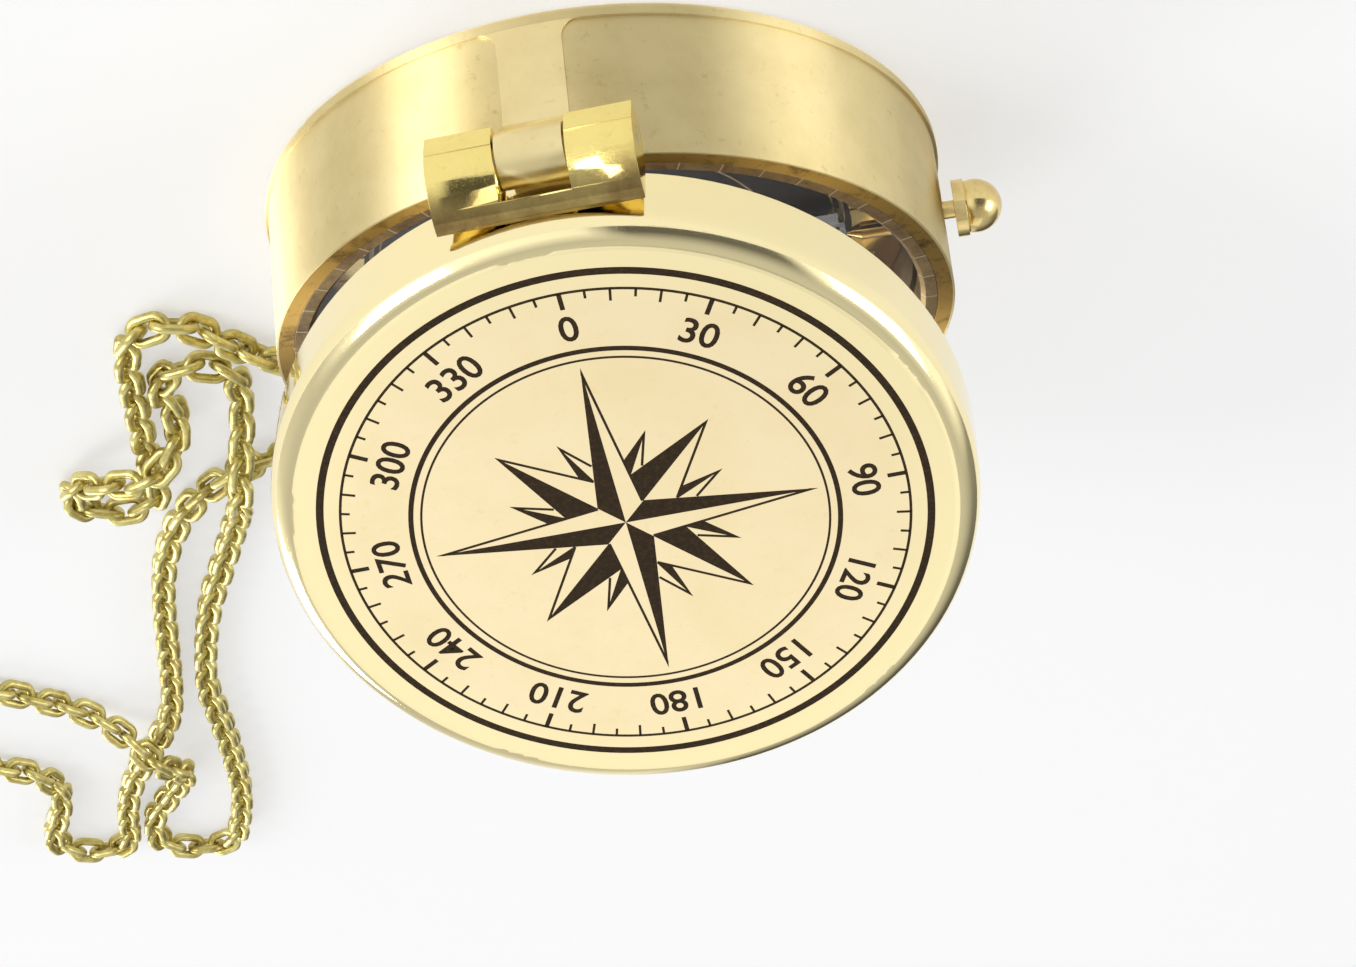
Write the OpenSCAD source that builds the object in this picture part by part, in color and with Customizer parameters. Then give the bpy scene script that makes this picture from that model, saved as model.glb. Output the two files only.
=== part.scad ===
// Pocket compass: a lidded brass drum with a side needle lock and a curb chain.
// It lies on its back. The origin is the middle of the back face, +Z looks out of the open
// face, and the hinge is at -Y. The lid stands ajar by lid_open_angle about the hinge pin.

/* [Case] */
// Outer diameter of the case and of the lid
case_d = 75; // [70:0.5:90]
// Height of the case, from the back face to the rim
case_h = 18.4; // [17.8:0.1:24]
// Wall of the case beside the retaining ring
case_wall = 1.9; // [1.2:0.1:2.6]
// Thickness of the case floor
floor_t = 1.8; // [1.2:0.1:2.4]
// Radius of the rounded edge round the back
back_round = 0.8; // [0.4:0.1:1.6]
// Height of the raised band above that edge
band_h = 0.8; // [0.6:0.1:2]
// How far the band and the hinge leaf stand proud of the wall
band_proud = 0.35; // [0.2:0.05:0.5]
// Width of the shoulder that carries the glass
seat_w = 2.2; // [1.6:0.1:2.8]

/* [Glass and ring] */
// Thickness of the glass
glass_t = 1.8; // [1.2:0.1:2.2]
// Height of the retaining ring above the glass
ring_h = 3.6; // [2:0.1:4]
// Width of the retaining ring across its flat top
ring_w = 1.8; // [1.2:0.1:2.4]

/* [Dial] */
// Thickness of the dial plate
dial_t = 0.8; // [0.5:0.1:1]
// Height of the dial's underside above the back face
dial_lift = 5.2; // [4.6:0.1:5.4]
// Width of the raised degree ring
degree_ring_w = 6; // [3:0.5:7]
// Height of the degree ring
degree_ring_h = 1.4; // [0.8:0.1:1.6]
// Number of notches round the degree ring
degree_notches = 36; // [12:12:72]
// Diameter of the pillars under the dial
pillar_d = 4; // [3:0.5:5]
// Distance of the pillars from the middle
pillar_out = 22; // [14:1:25]
// Shank diameter of the dial screws
dial_screw_d = 1.6; // [1.2:0.1:2]

/* [Needle] */
// Length of the needle
needle_l = 49; // [36:1:50]
// Width of the needle at its middle
needle_w = 6.4; // [5.4:0.1:8]
// Thickness of the needle blade
needle_t = 0.5; // [0.3:0.05:0.7]
// Diameter of the flange under the needle
hub_d = 5; // [4.8:0.1:5.4]
// Height of the needle's cap
hub_h = 2.2; // [2:0.1:2.6]
// Height of the needle's cap above the dial
needle_lift = 2.8; // [2.6:0.1:3]
// Diameter of the pivot post
post_d = 3; // [2.6:0.1:3.2]

/* [Needle lock] */
// Direction of the knob, clockwise from the hinge
knob_angle = 93; // [75:1:110]
// Diameter of the ball on the knob
ball_d = 6; // [5:0.1:7]
// Reach of the ball from the wall
ball_reach = 6.5; // [6.2:0.1:8]
// Diameter of the collar behind the ball
collar_d = 6.4; // [5:0.1:8]
// Thickness of the collar
collar_t = 1.3; // [0.8:0.1:2]
// Diameter of the knob's spindle
spindle_d = 2; // [1.8:0.1:2.2]
// Travel of the knob from free to locked
knob_travel = 1.2; // [0.8:0.1:1.3]
// Width of the brake lever
lever_w = 3; // [2.4:0.1:4]
// Thickness of the brake lever
lever_t = 0.6; // [0.4:0.1:0.7]
// Distance of the lever's fulcrum from the middle
fulcrum_out = 18; // [15:0.5:19]

/* [Hinge] */
// Height of the hinge pin above the rim
pin_rise = 1.1; // [0.8:0.1:1.6]
// Distance of the hinge pin from the wall
pin_out = 3.6; // [3.4:0.1:4.4]
// Diameter of the hinge pin
pin_d = 2; // [1.5:0.1:2.4]
// Radius of the round knuckles
knuckle_r = 2.9; // [2.4:0.1:3]
// Width of the hinge block on the lid
block_w = 21.4; // [16:0.2:26]
// Width of the slot between the outer knuckles
slot_w = 7.5; // [5:0.1:9]
// Side gap between the middle knuckle and the slot
knuckle_gap = 0.25; // [0.15:0.05:0.4]
// Height of the hinge block's top above the rim
block_rise = 6.9; // [6.4:0.1:7.2]
// Depth of the hinge block's foot below the rim
block_drop = 1.6; // [1.2:0.1:1.9]
// Height of the slot's top above the rim
slot_rise = 5.6; // [4.6:0.1:5.6]

/* [Lid] */
// Thickness of the lid
lid_t = 9.6; // [9.4:0.1:12]
// Radius of the rounded shoulder of the lid
lid_round = 2.9; // [1.8:0.1:3.2]
// Thickness of the lid's engraved face
lid_face_t = 2.2; // [1.4:0.1:3]
// Thickness of the lid's side wall
lid_wall = 2.4; // [1.8:0.1:3.2]
// Thickness of the plate inside the lid
inner_plate_t = 1; // [0.6:0.1:1.4]
// Depth of the plate below the lid's rim
inner_plate_drop = 1.6; // [1:0.1:2.4]
// Diameter of the ring line engraved on the face
ring_line_d = 64.3; // [40:0.1:66]
// Width of the engraved ring line
ring_line_w = 0.8; // [0.4:0.1:1.2]
// Gap between the closed lid and the case
lid_gap = 0.15; // [0.1:0.05:0.3]
// How far the lid is drawn open
lid_open_angle = 26; // [16:1:60]

/* [Chain] */
// Direction of the chain's stud, anticlockwise from the hinge
stud_angle = 125; // [120:1:130]
// Height of the stud above the back face
stud_z = 8.5; // [8.3:0.1:9]
// Wire diameter of the links
link_wire = 0.9; // [0.8:0.02:0.96]
// Outer length of a link
link_l = 5.4; // [5.3:0.05:5.6]
// Outer width of a link
link_w = 3.6; // [3.5:0.05:3.7]
// Length that each link adds to the chain
link_pitch = 3.05; // [3:0.01:3.1]
// Wire diameter of the bail ring
bail_wire = 1.2; // [1:0.05:1.3]
// Mean diameter of the bail ring
bail_d = 6.8; // [6.4:0.1:7]
// Wire diameter of the two jump rings
jump_wire = 0.9; // [0.8:0.05:1]
// Mean diameter of the two jump rings
jump_d = 4.1; // [4:0.05:4.3]

/* [Hidden] */
$fn = 96;

// One overrun serves every cut that runs past a face.
overrun = 1;
// A piece that lies in another has this gap round it.
fit = 0.05;
// A round piece stays this far from the round wall that it touches.
seat_gap = 0.02;

case_r = case_d / 2;
band_r = case_r + band_proud;
wall_bore_r = case_r - case_wall;
seat_bore_r = wall_bore_r - seat_w;
ring_out_r = wall_bore_r - fit;
ring_in_r = ring_out_r - ring_w;
seat_z = case_h - ring_h - glass_t;
glass_r = wall_bore_r - 2 * fit;
dial_r = seat_bore_r - 2 * fit;
dial_top = dial_lift + dial_t;
degree_in_r = dial_r - degree_ring_w;
ring_chamfer = 0.5;

// Dial screws stand between the knob's direction and the square to it.
pillar_count = 4;
screw_head_share = 1.7;
screw_head_t = 0.6;
screw_reach = 2.2;
notch_w = 0.5;
notch_depth = 0.5;
notch_share = 0.5;

// Needle, cap and pivot.
cap_z = dial_top + needle_lift;
flange_t = 0.5;
cap_neck_share = 0.6;
jewel_share = 0.4;
jewel_t = 0.9;
cap_roof_t = 0.3;
cup_depth = 0.4;
point_d = 1;
point_l = 1.1;
point_reach = 2;
point_gap = 0.05;
post_gap = 0.5;
neck_r = hub_d * cap_neck_share / 2;
jewel_r = hub_d * jewel_share / 2;
jewel_z = cap_z + hub_h - cap_roof_t - jewel_t;
point_tip_z = jewel_z + cup_depth - point_gap;
post_top = cap_z - post_gap;

// Needle lock: the spindle's cone rides over the lever's tab and tips the lever.
knob_rise = 0.2;
knob_z = case_h / 2 + knob_rise;
lever_rise = 1;
lever_z = dial_top + lever_rise;
pivot_z = lever_z + lever_t / 2;
barrel_r = 0.8;
lever_pin_d = 0.8;
ear_t = 0.6;
ear_r = 0.9;
bracket_t = 0.4;
bracket_in = 1.2;
bracket_l = 4.6;
lever_screw_out = 2.3;
lever_screw_d = 0.9;
lever_head_d = 1.7;
lever_head_t = 0.3;
tab_t = 0.6;
tab_gap = 0.8;
tab_drop = 0.5;
eye_gap = 0.4;
eye_w = 0.9;
tab_out = degree_in_r - tab_gap;
tab_top = knob_z - tab_drop;
eye_in_r = post_d / 2 + eye_gap;
eye_out_r = eye_in_r + eye_w;

// Knob and spindle, measured outwards from the middle of the case.
tip_r = 0.25;
tip_gap = 0.1;
cone_l = 1.6;
bush_d = 4.4;
bush_sink = 0.1;
clip_t = 0.4;
clip_share = 0.8;
clip_core_share = 0.65;
tip_x = tab_out + tip_gap;
collar_x = case_r + knob_travel + fit;
ball_x = case_r + ball_reach - ball_d / 2;
clip_x = seat_bore_r - fit - clip_t;
clip_core_r = spindle_d * clip_core_share / 2;

// Hinge.
axis_y = -(case_r + pin_out);
axis_z = case_h + pin_rise;
leaf_w = slot_w - 2 * knuckle_gap;
leaf_fillet = 2;
arm_share = 0.7;
block_round = 6.2;
block_foot_round = 0.5;

// Lid, drawn closed.
lid_z = case_h + lid_gap;
lid_bore_r = case_r - lid_wall;
lid_ledge_w = 1.6;
ring_line_depth = 0.15;

// Chain stud and rings.
stud_shank_d = 2.4;
stud_sink = 0.4;
stud_flange_d = 5.2;
stud_flange_t = 0.9;
stud_out = 3.2;
eye_ball_d = 4;
eye_slab_t = 1.6;
stud_hole_d = 2;
bail_tilt = 65;
jump_spread = 28;
jump_in = 0.1;
jump_lift = 0.8;
bail_z = stud_z - (stud_hole_d - bail_wire) / 2 + fit;

// The chain lies loosely: these are points on its middle line, from one jump ring to the other.
chain_route = [
    [39.5, 24.5, 2.8], [44.0, 20.5, 2.2], [47.5, 16.5, 1.8], [49.8, 12.2, 1.8],
    [52.2, 9.0, 1.8], [55.3, 8.0, 1.8], [58.5, 9.4, 1.8], [60.6, 13.4, 1.8],
    [62.2, 19.5, 1.8], [64.2, 28.5, 1.8], [66.2, 37.5, 1.8], [67.4, 45.2, 1.8],
    [69.4, 49.5, 1.8], [73.2, 51.2, 1.8], [77.0, 49.8, 1.8], [78.6, 46.0, 1.8],
    [76.8, 41.7, 2.4], [72.2, 38.9, 4.4], [66.4, 37.2, 5.7], [61.8, 34.2, 3.8],
    [59.8, 29.2, 2.0], [59.6, 23.4, 1.8], [58.2, 19.9, 1.8], [54.9, 18.4, 1.8],
    [51.7, 19.9, 1.8], [50.4, 23.4, 1.8], [51.7, 30.0, 1.8], [54.3, 38.0, 3.2],
    [57.0, 46.0, 5.6], [59.5, 54.0, 3.2], [63.5, 63.5, 1.8], [67.5, 72.0, 1.8],
    [72.0, 81.5, 1.8], [76.5, 93.5, 1.8], [80.5, 106.5, 1.8], [82.5, 118.5, 1.8],
    [84.4, 130.0, 1.8], [88.0, 147.0, 1.8], [92.2, 159.3, 1.8], [94.6, 164.0, 1.8],
    [98.5, 166.0, 1.8], [103.0, 164.0, 1.8], [105.0, 159.5, 1.8], [103.0, 151.0, 1.8],
    [97.0, 142.0, 1.8], [92.5, 133.0, 3.2], [93.5, 123.0, 5.6], [96.5, 114.5, 3.2],
    [100.0, 108.5, 1.8], [104.0, 102.5, 1.8], [108.5, 97.0, 1.8], [114.0, 94.0, 1.8],
    [120.0, 95.0, 1.8], [124.5, 99.5, 1.8], [126.0, 107.0, 1.8], [123.5, 115.5, 1.8],
    [118.0, 122.5, 1.8], [113.5, 128.0, 1.8], [112.5, 135.0, 1.8], [115.0, 142.5, 1.8],
    [118.5, 149.5, 1.8], [119.5, 154.5, 1.8], [117.5, 159.0, 1.8], [113.0, 160.5, 1.8],
    [109.0, 157.0, 1.8], [106.0, 147.0, 1.8], [101.0, 135.5, 1.8], [94.5, 125.0, 1.8],
    [89.5, 116.5, 1.8], [86.0, 107.5, 1.8], [81.5, 92.0, 1.8], [77.0, 76.5, 1.8],
    [72.5, 64.5, 1.8], [67.5, 55.5, 1.8], [62.0, 49.5, 1.8], [56.0, 45.5, 1.8],
    [49.5, 44.0, 1.8], [43.0, 40.5, 1.8], [38.5, 35.5, 2.2], [36.8, 29.0, 2.6]
];
route_steps = 8;

brass = "#d9b76a";
bright_brass = "#e6cf8f";
dark_brass = "#9c7b3c";
chain_brass = "#b59a52";
steel = "#9aa0a6";

// Turns its children to the knob's direction: their +X points out of the case there.
module at_knob() {
    rotate([0, 0, -90 - knob_angle]) children();
}

// Turns its children to the stud's direction: their +X points out of the case there.
module at_stud() {
    rotate([0, 0, -90 + stud_angle]) children();
}

// Swings its children, which are drawn on the closed lid, about the hinge pin.
module on_open_lid() {
    translate([0, axis_y, axis_z])
        rotate([lid_open_angle, 0, 0])
            translate([0, -axis_y, -axis_z])
                children();
}

// A flat ring between two radii.
module tube(outer, inner, height) {
    difference() {
        cylinder(r = outer, h = height);
        translate([0, 0, -overrun]) cylinder(r = inner, h = height + 2 * overrun);
    }
}

// A rod along X.
module rod_x(r, from, to) {
    translate([from, 0, 0]) rotate([0, 90, 0]) cylinder(r = r, h = to - from);
}

// A rod along Y, centred.
module rod_y(r, length) {
    rotate([90, 0, 0]) cylinder(r = r, h = length, center = true);
}

// A disc whose lower edge is rounded.
module round_foot_disc(r, h, round_r) {
    rotate_extrude() {
        square([r - round_r, h]);
        translate([0, round_r]) square([r, h - round_r]);
        translate([r - round_r, round_r]) circle(r = round_r);
    }
}

module at_pillars() {
    for (i = [0 : pillar_count - 1])
        rotate([0, 0, -90 - knob_angle + (i + 1 / 2) * 360 / pillar_count])
            translate([pillar_out, 0, 0]) children();
}

module case_body() {
    color(brass) difference() {
        union() {
            round_foot_disc(band_r, back_round + band_h, back_round);
            translate([0, 0, back_round]) cylinder(r = case_r, h = case_h - back_round);
        }
        translate([0, 0, floor_t]) cylinder(r = seat_bore_r, h = case_h);
        translate([0, 0, seat_z]) cylinder(r = wall_bore_r, h = case_h);
        at_knob() translate([0, 0, knob_z])
            rod_x(bush_d / 2 + fit, seat_bore_r - overrun, case_r + overrun);
        at_stud() translate([0, 0, stud_z])
            rod_x(stud_shank_d / 2 + fit, seat_bore_r + stud_sink, case_r + overrun);
    }
}

// The leaf is a flat strip up the wall, flared where it meets the band, with an arm that
// carries the middle knuckle.
module hinge_leaf() {
    band_top = back_round + band_h;
    color(brass) {
        intersection() {
            translate([0, 0, band_top]) tube(band_r, case_r + seat_gap, case_h - band_top);
            rotate([90, 0, 0]) linear_extrude(case_d) difference() {
                union() {
                    translate([-leaf_w / 2, 0]) square([leaf_w, case_h]);
                    translate([-leaf_w / 2 - leaf_fillet, 0])
                        square([leaf_w + 2 * leaf_fillet, band_top + leaf_fillet]);
                }
                for (side = [-1, 1])
                    translate([side * (leaf_w / 2 + leaf_fillet), band_top + leaf_fillet])
                        circle(r = leaf_fillet);
            }
        }
        difference() {
            union() {
                translate([0, axis_y, axis_z]) rotate([0, 90, 0])
                    cylinder(r = knuckle_r, h = leaf_w, center = true);
                translate([-leaf_w / 2, 0, 0]) rotate([90, 0, 90]) linear_extrude(leaf_w)
                    polygon([
                        [-case_r - seat_gap, axis_z - knuckle_r - pin_out],
                        [-case_r - seat_gap, case_h],
                        [axis_y, case_h],
                        [axis_y - knuckle_r * arm_share, axis_z - knuckle_r * arm_share]
                    ]);
            }
            translate([0, axis_y, axis_z]) rotate([0, 90, 0])
                cylinder(d = pin_d + 2 * fit, h = leaf_w + 2 * overrun, center = true);
        }
    }
}

module retaining_ring() {
    color(dark_brass) translate([0, 0, seat_z + glass_t]) rotate_extrude()
        polygon([
            [ring_in_r, 0], [ring_out_r, 0], [ring_out_r, ring_h],
            [ring_in_r + ring_chamfer, ring_h], [ring_in_r, ring_h - ring_chamfer]
        ]);
}

module glass() {
    color("#dfeef2", 0.35) translate([0, 0, seat_z]) cylinder(r = glass_r, h = glass_t);
}

module dial_plate() {
    color("#efe7d2") difference() {
        translate([0, 0, dial_lift]) cylinder(r = dial_r, h = dial_t);
        cylinder(d = post_d + 2 * fit, h = case_h);
        at_pillars() cylinder(d = dial_screw_d + 2 * fit, h = case_h);
        at_knob() translate([fulcrum_out + lever_screw_out, 0, 0])
            cylinder(d = lever_screw_d + 2 * fit, h = case_h);
    }
}

module degree_ring() {
    color(bright_brass) translate([0, 0, dial_top]) difference() {
        tube(dial_r, degree_in_r, degree_ring_h);
        for (i = [0 : degree_notches - 1])
            rotate([0, 0, i * 360 / degree_notches])
                translate([degree_in_r - overrun, -notch_w / 2, degree_ring_h - notch_depth])
                    cube([overrun + degree_ring_w * notch_share, notch_w, notch_depth + overrun]);
    }
}

module dial_pillars() {
    color(brass) at_pillars() difference() {
        translate([0, 0, floor_t]) cylinder(d = pillar_d, h = dial_lift - floor_t);
        translate([0, 0, dial_lift - screw_reach])
            cylinder(d = dial_screw_d + 2 * fit, h = screw_reach + overrun);
    }
}

module dial_screws() {
    color(steel) at_pillars() {
        translate([0, 0, dial_lift - screw_reach + fit])
            cylinder(d = dial_screw_d, h = dial_t + screw_reach);
        translate([0, 0, dial_top])
            cylinder(d = dial_screw_d * screw_head_share, h = screw_head_t);
    }
}

module pivot_post() {
    color(brass) difference() {
        translate([0, 0, floor_t]) cylinder(d = post_d, h = post_top - floor_t);
        translate([0, 0, post_top - point_reach])
            cylinder(d = point_d + 2 * fit, h = point_reach + overrun);
    }
}

module pivot_point() {
    color(steel) {
        translate([0, 0, post_top - point_reach])
            cylinder(d = point_d, h = point_tip_z - point_l - post_top + point_reach);
        translate([0, 0, point_tip_z - point_l]) cylinder(d1 = point_d, d2 = 0, h = point_l);
    }
}

module needle() {
    color("#27477d") translate([0, 0, cap_z + flange_t]) difference() {
        linear_extrude(needle_t) polygon([
            [0, needle_l / 2], [needle_w / 2, 0], [0, -needle_l / 2], [-needle_w / 2, 0]
        ]);
        translate([0, 0, -overrun]) cylinder(r = neck_r + fit, h = needle_t + 2 * overrun);
    }
}

module needle_cap() {
    color(bright_brass) difference() {
        union() {
            translate([0, 0, cap_z]) cylinder(d = hub_d, h = flange_t);
            translate([0, 0, cap_z]) cylinder(r = neck_r, h = hub_h);
        }
        translate([0, 0, cap_z - overrun])
            cylinder(r = jewel_r + fit, h = hub_h - cap_roof_t + overrun);
    }
}

module cap_jewel() {
    color("#8e2f3c") difference() {
        translate([0, 0, jewel_z]) cylinder(r = jewel_r, h = jewel_t);
        translate([0, 0, jewel_z]) cylinder(r1 = jewel_r - fit, r2 = 0, h = cup_depth);
    }
}

// The bracket screws to the dial and holds the lever between two ears.
module lever_bracket() {
    ear_y = lever_w / 2 + 2 * fit;
    color(brass) at_knob() translate([fulcrum_out, 0, dial_top]) difference() {
        union() {
            translate([-bracket_in, -ear_y - ear_t, 0])
                cube([bracket_l, 2 * (ear_y + ear_t), bracket_t]);
            for (side = [-1, 1]) translate([0, side * (ear_y + ear_t / 2), 0]) {
                translate([-ear_r, -ear_t / 2, 0]) cube([2 * ear_r, ear_t, pivot_z - dial_top]);
                translate([0, 0, pivot_z - dial_top]) rod_y(ear_r, ear_t);
            }
        }
        translate([0, 0, pivot_z - dial_top]) rod_y(lever_pin_d / 2 + fit, bracket_l * 2);
        translate([lever_screw_out, 0, -overrun])
            cylinder(d = lever_screw_d + 2 * fit, h = bracket_t + 2 * overrun);
    }
}

module lever_screw() {
    color(steel) at_knob() translate([fulcrum_out + lever_screw_out, 0, 0]) {
        translate([0, 0, dial_lift]) cylinder(d = lever_screw_d, h = dial_t + bracket_t);
        translate([0, 0, dial_top + bracket_t]) cylinder(d = lever_head_d, h = lever_head_t);
    }
}

module lever_pin() {
    color(steel) at_knob() translate([fulcrum_out, 0, pivot_z])
        rod_y(lever_pin_d / 2, lever_w + 2 * (2 * fit + ear_t));
}

// A strip with an eye round the post at one end and a tab under the spindle at the other.
module brake_lever() {
    color(steel) at_knob() difference() {
        union() {
            translate([0, 0, lever_z]) cylinder(r = eye_out_r, h = lever_t);
            translate([eye_in_r, -lever_w / 2, lever_z])
                cube([tab_out - eye_in_r, lever_w, lever_t]);
            translate([tab_out - tab_t, -lever_w / 2, lever_z])
                cube([tab_t, lever_w, tab_top - lever_z]);
            translate([fulcrum_out, 0, pivot_z]) rod_y(barrel_r, lever_w);
        }
        translate([0, 0, lever_z - overrun]) cylinder(r = eye_in_r, h = lever_t + 2 * overrun);
        translate([fulcrum_out, 0, pivot_z]) rod_y(lever_pin_d / 2 + fit, lever_w + overrun);
    }
}

module knob_bush() {
    color(bright_brass) at_knob() translate([0, 0, knob_z]) difference() {
        rod_x(bush_d / 2, seat_bore_r, case_r - bush_sink);
        rod_x(spindle_d / 2 + fit, seat_bore_r - overrun, case_r + overrun);
    }
}

module lock_knob() {
    color(bright_brass) at_knob() translate([0, 0, knob_z]) difference() {
        union() {
            translate([tip_x, 0, 0]) rotate([0, 90, 0])
                cylinder(r1 = tip_r, r2 = spindle_d / 2, h = cone_l);
            rod_x(spindle_d / 2, tip_x + cone_l, collar_x + collar_t);
            rod_x(collar_d / 2, collar_x, collar_x + collar_t);
            translate([ball_x, 0, 0]) difference() {
                sphere(d = ball_d);
                rotate([0, 90, 0])
                    translate([0, 0, -ball_d - (ball_x - collar_x - collar_t / 2)])
                        cylinder(d = 2 * ball_d, h = ball_d);
            }
        }
        translate([clip_x, 0, 0]) rotate([0, 90, 0])
            tube(spindle_d, clip_core_r, clip_t);
    }
}

module spindle_clip() {
    color(steel) at_knob() translate([clip_x, 0, knob_z]) rotate([0, 90, 0])
        tube(spindle_d * clip_share, clip_core_r + seat_gap, clip_t);
}

module lid_shell() {
    color(bright_brass) on_open_lid() difference() {
        translate([0, 0, lid_z + lid_t]) mirror([0, 0, 1])
            round_foot_disc(case_r, lid_t, lid_round);
        translate([0, 0, lid_z - overrun])
            cylinder(r = lid_bore_r, h = inner_plate_drop + inner_plate_t + overrun);
        translate([0, 0, lid_z]) cylinder(r = lid_bore_r - lid_ledge_w, h = lid_t - lid_face_t);
        translate([0, 0, lid_z + lid_t - ring_line_depth])
            tube((ring_line_d + ring_line_w) / 2, (ring_line_d - ring_line_w) / 2, overrun);
    }
}

module lid_inner_plate() {
    color(brass) on_open_lid() translate([0, 0, lid_z + inner_plate_drop])
        cylinder(r = lid_bore_r - fit, h = inner_plate_t);
}

// The block is round above and flat at its foot. The slot leaves two outer knuckles and a
// bridge above the middle knuckle.
module hinge_block() {
    outer_y = axis_y - knuckle_r;
    color(bright_brass) on_open_lid() difference() {
        union() {
            translate([0, 0, 0]) rotate([90, 0, 90])
                linear_extrude(block_w, center = true) {
                    difference() {
                        union() {
                            translate([axis_y, axis_z]) circle(r = knuckle_r);
                            intersection() {
                                translate([outer_y + block_round, case_h + block_rise - block_round])
                                    circle(r = block_round);
                                translate([outer_y, axis_z])
                                    square([pin_out + knuckle_r, block_rise]);
                            }
                            translate([outer_y, axis_z])
                                square([knuckle_r, block_rise - block_round + fit]);
                            translate([outer_y + block_foot_round, case_h - block_drop])
                                square([knuckle_r - block_foot_round, block_drop + pin_rise]);
                            translate([outer_y, case_h - block_drop + block_foot_round])
                                square([knuckle_r, block_drop + pin_rise - block_foot_round]);
                            translate([outer_y + block_foot_round,
                                case_h - block_drop + block_foot_round])
                                circle(r = block_foot_round);
                        }
                        translate([outer_y, case_h - block_drop - knuckle_r])
                            square([2 * knuckle_r, knuckle_r]);
                    }
                }
        }
        cylinder(r = case_r + seat_gap, h = 2 * case_h);
        translate([-slot_w / 2, -case_r - seat_gap - case_d, 0])
            cube([slot_w, case_d, case_h + slot_rise]);
        translate([0, axis_y, axis_z]) rotate([0, 90, 0])
            cylinder(d = pin_d + 2 * fit, h = block_w + 2 * overrun, center = true);
    }
}

module hinge_pin() {
    color(steel) translate([0, axis_y, axis_z]) rotate([0, 90, 0])
        cylinder(d = pin_d, h = block_w, center = true);
}

// The stud screws into the wall. Its eye is a ball cut flat on both sides.
module chain_stud() {
    color(brass) at_stud() translate([0, 0, stud_z]) difference() {
        union() {
            rod_x(stud_shank_d / 2, seat_bore_r + stud_sink + fit, case_r + stud_out);
            rod_x(stud_flange_d / 2, case_r + seat_gap, case_r + seat_gap + stud_flange_t);
            translate([case_r + stud_out, 0, 0]) intersection() {
                sphere(d = eye_ball_d);
                cube([eye_ball_d, eye_slab_t, eye_ball_d], center = true);
            }
        }
        translate([case_r + stud_out, 0, 0]) rod_y(stud_hole_d / 2, eye_ball_d);
    }
}

// A ring of round wire in the XY plane.
module wire_ring(mean_d, wire) {
    rotate_extrude() translate([mean_d / 2, 0]) circle(d = wire);
}

// The bail ring's own plane: +X runs from the stud's eye down across the ring.
module on_bail() {
    at_stud() translate([case_r + stud_out, 0, bail_z]) rotate([0, bail_tilt, 0])
        translate([bail_d / 2, 0, 0]) children();
}

module bail_ring() {
    color(brass) on_bail() wire_ring(bail_d, bail_wire);
}

module jump_rings() {
    color(chain_brass) on_bail() for (side = [-1, 1])
        rotate([0, 0, side * jump_spread]) translate([bail_d / 2 + jump_in, 0, jump_lift])
            rotate([90, 0, 0]) wire_ring(jump_d, jump_wire);
}

// The route is a smooth curve through its points, read by the length run along it.
function smooth(a, b, c, d, t) =
    (2 * b + (c - a) * t + (2 * a - 5 * b + 4 * c - d) * t * t
        + (3 * b - a - 3 * c + d) * t * t * t) / 2;
route_last = len(chain_route) - 1;
route_fine = [
    for (i = [0 : route_last - 1], j = [0 : route_steps - 1])
        smooth(chain_route[max(i - 1, 0)], chain_route[i], chain_route[i + 1],
            chain_route[min(i + 2, route_last)], j / route_steps),
    chain_route[route_last]
];
route_run = [
    for (i = 0, s = 0; i < len(route_fine);
        i = i + 1, s = s + (i < len(route_fine) ? norm(route_fine[i] - route_fine[i - 1]) : 0)) s
];
route_l = route_run[len(route_run) - 1];
route_axes = [
    for (axis = [0 : 2]) [for (i = [0 : len(route_fine) - 1]) [route_run[i], route_fine[i][axis]]]
];
function on_route(s) = [for (axis = [0 : 2]) lookup(s, route_axes[axis])];

// The first and the last link lie flat to hook the jump rings. The links between them
// settle, within turn_links of each end, to lean left and right in turn.
link_count = 2 * floor(route_l / link_pitch / 2) + 1;
link_step = route_l / (link_count - 1);
link_lean = 45;
turn_links = 6;
function link_roll(i) = link_lean * (
    (i % 2 == 0 ? 1 : -1) - max(0, 1 - min(i, link_count - 1 - i) / turn_links)
);

// One closed link, flat in the XY plane and long in X.
module chain_link() {
    arc_r = (link_w - link_wire) / 2;
    straight = link_l - link_w;
    for (side = [-1, 1]) {
        translate([side * straight / 2, 0, 0]) rotate([0, 0, -90 * side])
            rotate_extrude(angle = 180) translate([arc_r, 0]) circle(d = link_wire);
        translate([0, side * arc_r, 0]) rod_x(link_wire / 2, -straight / 2, straight / 2);
    }
}

// The links of one stretch, from one share of the chain's links to another.
module chain_stretch(from_share, to_share) {
    color(chain_brass)
        for (i = [ceil(link_count * from_share) : ceil(link_count * to_share) - 1]) {
            behind = on_route((i - 1 / 2) * link_step);
            ahead = on_route((i + 1 / 2) * link_step);
            aim = ahead - behind;
            translate(on_route(i * link_step))
                rotate([link_roll(i), -asin(aim[2] / norm(aim)), atan2(aim[1], aim[0])])
                    chain_link();
        }
}

module chain_near_loops() { chain_stretch(0, 1 / 4); }

module chain_run_out() { chain_stretch(1 / 4, 1 / 2); }

module chain_far_loop() { chain_stretch(1 / 2, 3 / 4); }

module chain_run_back() { chain_stretch(3 / 4, 1); }

case_body();
hinge_leaf();
retaining_ring();
glass();
dial_plate();
degree_ring();
dial_pillars();
dial_screws();
pivot_post();
pivot_point();
needle();
needle_cap();
cap_jewel();
lever_bracket();
lever_screw();
lever_pin();
brake_lever();
knob_bush();
lock_knob();
spindle_clip();
lid_shell();
lid_inner_plate();
hinge_block();
hinge_pin();
chain_stud();
bail_ring();
jump_rings();
chain_near_loops();
chain_run_out();
chain_far_loop();
chain_run_back();
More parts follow.
